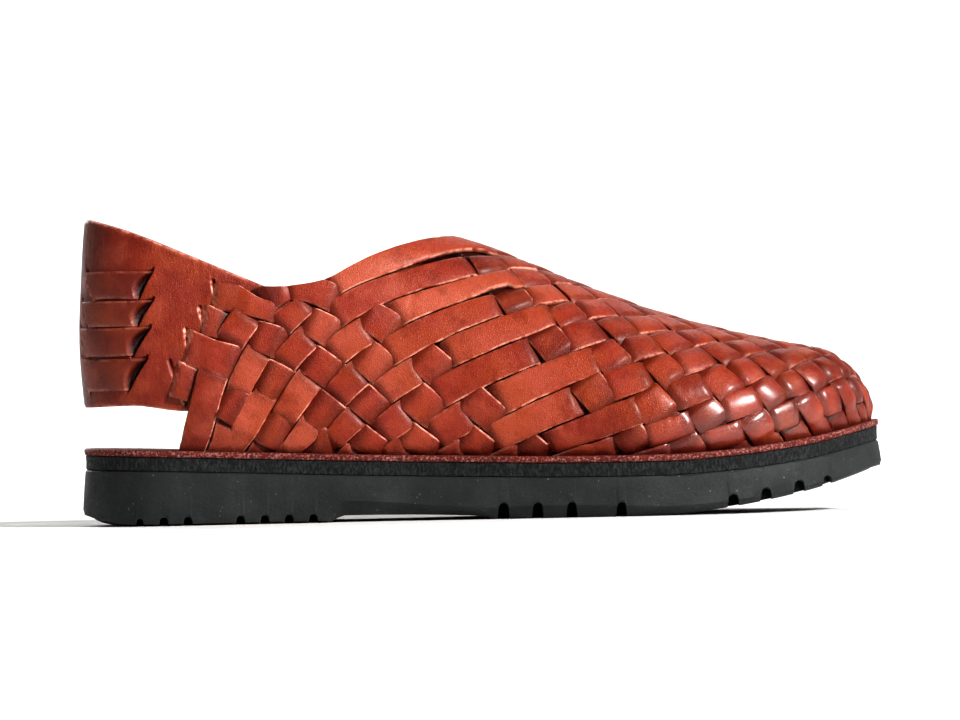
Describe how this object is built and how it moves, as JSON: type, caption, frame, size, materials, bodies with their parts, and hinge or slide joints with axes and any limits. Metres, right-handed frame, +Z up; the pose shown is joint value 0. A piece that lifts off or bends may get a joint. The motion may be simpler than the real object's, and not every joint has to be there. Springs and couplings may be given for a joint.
{
  "type": "huarache sandal",
  "caption": "Woven leather huarache for the right foot with a closed toe, open heel, laced heel strap and a lugged rubber sole.",
  "frame": {"origin": "middle of the shoe's bounding box, on the floor under the sole", "axes": "+X from heel to toe, +Y to the inner side of the right foot, +Z up from the floor"},
  "size_m": [0.285, 0.1034, 0.109],
  "materials": {
    "outsole_rubber": "matt moulded, fine grain",
    "midsole_rubber": "matt, coarse upright grain on the edge",
    "insole_leather": "raw stained edge",
    "woven_leather": "burnished, semi-gloss",
    "strap_leather": "smooth outside, suede inside",
    "lace_leather": "burnished, semi-gloss"
  },
  "bodies": {
    "root": {"outsole": "outsole_rubber", "midsole": "midsole_rubber", "insole": "insole_leather", "upper": "woven_leather", "heel_strap": "strap_leather", "heel_lace_outer_1": "lace_leather", "heel_lace_outer_2": "lace_leather", "heel_lace_outer_3": "lace_leather", "heel_lace_outer_4": "lace_leather", "heel_lace_inner_1": "lace_leather", "heel_lace_inner_2": "lace_leather", "heel_lace_inner_3": "lace_leather", "heel_lace_inner_4": "lace_leather"}
  },
  "joints": []
}
